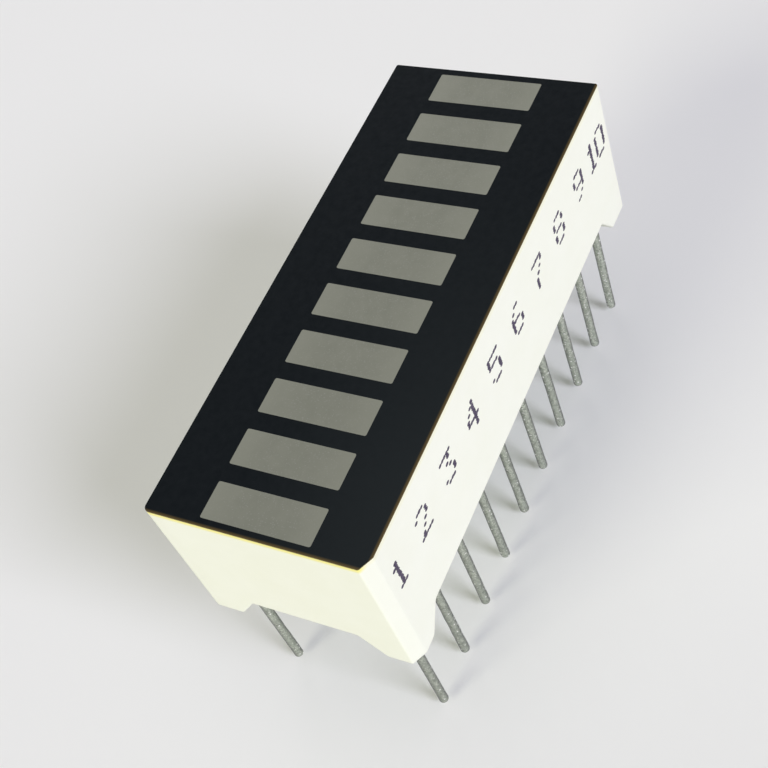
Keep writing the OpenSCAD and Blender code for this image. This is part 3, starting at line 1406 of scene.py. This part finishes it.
@dataclass
class SealedInside(SubAssembly):
    """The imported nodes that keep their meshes: board, tracks, solder, glue, chips and wires."""

    kept: tuple[tuple[str, Slot], ...] = (
        ("circuit_board", Slot.BOARD_LAMINATE), ("copper_tracks", Slot.COPPER),
        ("solder_joints", Slot.SOLDER), ("chip_glue", Slot.SILVER_GLUE),
        ("led_chip", Slot.CHIP_CRYSTAL), ("bond_wire", Slot.GOLD_WIRE),
    )

    def build(self) -> None:
        """Gives the nodes whose names start alike their finish and reports them."""
        for start, slot in self.kept:
            for name in sorted(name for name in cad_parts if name.startswith(start)):
                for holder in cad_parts[name].material_slots:
                    holder.material = self.palette.by_slot[slot]
                log.info("%s: packed mesh, %s", name, slot.value)


# --------------------------------------------------------------------------- the studio


@dataclass(frozen=True)
class Lamp:
    """A broad lamp that shines from a direction towards the part."""

    name: str
    direction: Triple
    strength: float
    spread: float
    colour: Colour = (1.0, 1.0, 1.0)

    def hang(self) -> None:
        """Adds the lamp to the scene."""
        data = bpy.data.lights.new(self.name, "SUN")
        data.energy = self.strength
        data.color = self.colour
        data.angle = self.spread
        lamp = bpy.data.objects.new(self.name, data)
        lamp.rotation_euler = Vector(self.direction).to_track_quat("Z", "Y").to_euler()
        bpy.context.scene.collection.objects.link(lamp)


@dataclass
class Studio:
    """A pale floor just below the pins' tips, a pale surround, and three broad lamps."""

    tips: float
    clearance: float = 0.3 * MM
    floor_reach: float = 1.5
    floor: FloorFinish = FloorFinish(
        "pale_floor", (0.87, 0.865, 0.855), (0.87, 0.865, 0.855), patch=0.2, roughness=(0.85, 0.9),
        specular=0.1, grain=0.01, grain_depth=0.01 * MM,
    )
    surround: Colour = (0.86, 0.87, 0.88)
    fill: Colour = (0.375, 0.375, 0.375)
    lamps: tuple[Lamp, ...] = (
        Lamp("key_lamp", (-0.2, -0.9, 0.6), 1.82, 0.45, (1.0, 1.0, 1.16)),
        Lamp("end_lamp", (-0.9, 0.3, 0.5), 1.2, 0.5, (1.0, 1.0, 0.8)),
        Lamp("back_lamp", (0.75, 0.6, 0.2), 0.65, 0.5),
    )

    def _floor(self) -> None:
        """Lays the floor."""
        patches = Patchwork()
        patches.flat(CORNERS * self.floor_reach, [], self.tips - self.clearance, Facing.UP)
        patches.piece("pale_floor", self.floor.material())

    def _surround(self) -> None:
        """Sets the world: a plain fill, and a pale colour for the rays that see it directly."""
        world = bpy.data.worlds.new("pale_surround")
        world.use_nodes = True
        world.node_tree.nodes.clear()
        wiring = Wiring(world.node_tree)
        rays = wiring.add("ShaderNodeLightPath")
        seen = rays.outputs["Is Camera Ray"]
        for name in ("Is Glossy Ray", "Is Transmission Ray"):
            seen = wiring.math("MAXIMUM", seen, rays.outputs[name])
        colour = {"Color": wiring.blend(seen, self.fill, self.surround)}
        shader = wiring.add("ShaderNodeBackground", colour).outputs["Background"]
        wiring.add("ShaderNodeOutputWorld", {"Surface": shader})
        bpy.context.scene.world = world

    def build(self) -> None:
        """Builds the studio."""
        self._floor()
        self._surround()
        for lamp in self.lamps:
            lamp.hang()
        bpy.context.scene.view_settings.view_transform = "Standard"


@dataclass
class Camera:
    """The camera, from the -X end and above, looking across the face. Its turns are in degrees."""

    place: Triple = (-30.525 * MM, -27.301 * MM, 51.312 * MM)
    turn: Triple = (36.99504, 15.66783, -65.47351)
    lens: float = 66.833
    sensor: float = 36.0
    sight: Span = (1.0 * MM, 10.0)

    def build(self) -> None:
        """Makes the camera, turned about X, Y and Z, and hands it to the scene."""
        data = bpy.data.cameras.new("camera")
        data.lens, data.sensor_width = self.lens, self.sensor
        data.clip_start, data.clip_end = self.sight
        camera = bpy.data.objects.new("camera", data)
        camera.location = self.place
        camera.rotation_euler = np.radians(self.turn)
        bpy.context.scene.collection.objects.link(camera)
        bpy.context.scene.camera = camera


def main() -> None:
    """Builds the sub-assemblies in order, then the studio and the camera."""
    logging.basicConfig(level=logging.INFO, format="%(message)s")
    palette, plan = Palette(), BodyPlan(Measures.taken())
    for kind in (ReflectorMoulding, FaceFilm, EpoxyCasting, TinnedPins, BarNumbers, SealedInside):
        kind(palette, plan).build()
    Studio(tips=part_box("pin_01")[0].z).build()
    Camera().build()


if __name__ == "__main__":
    main()
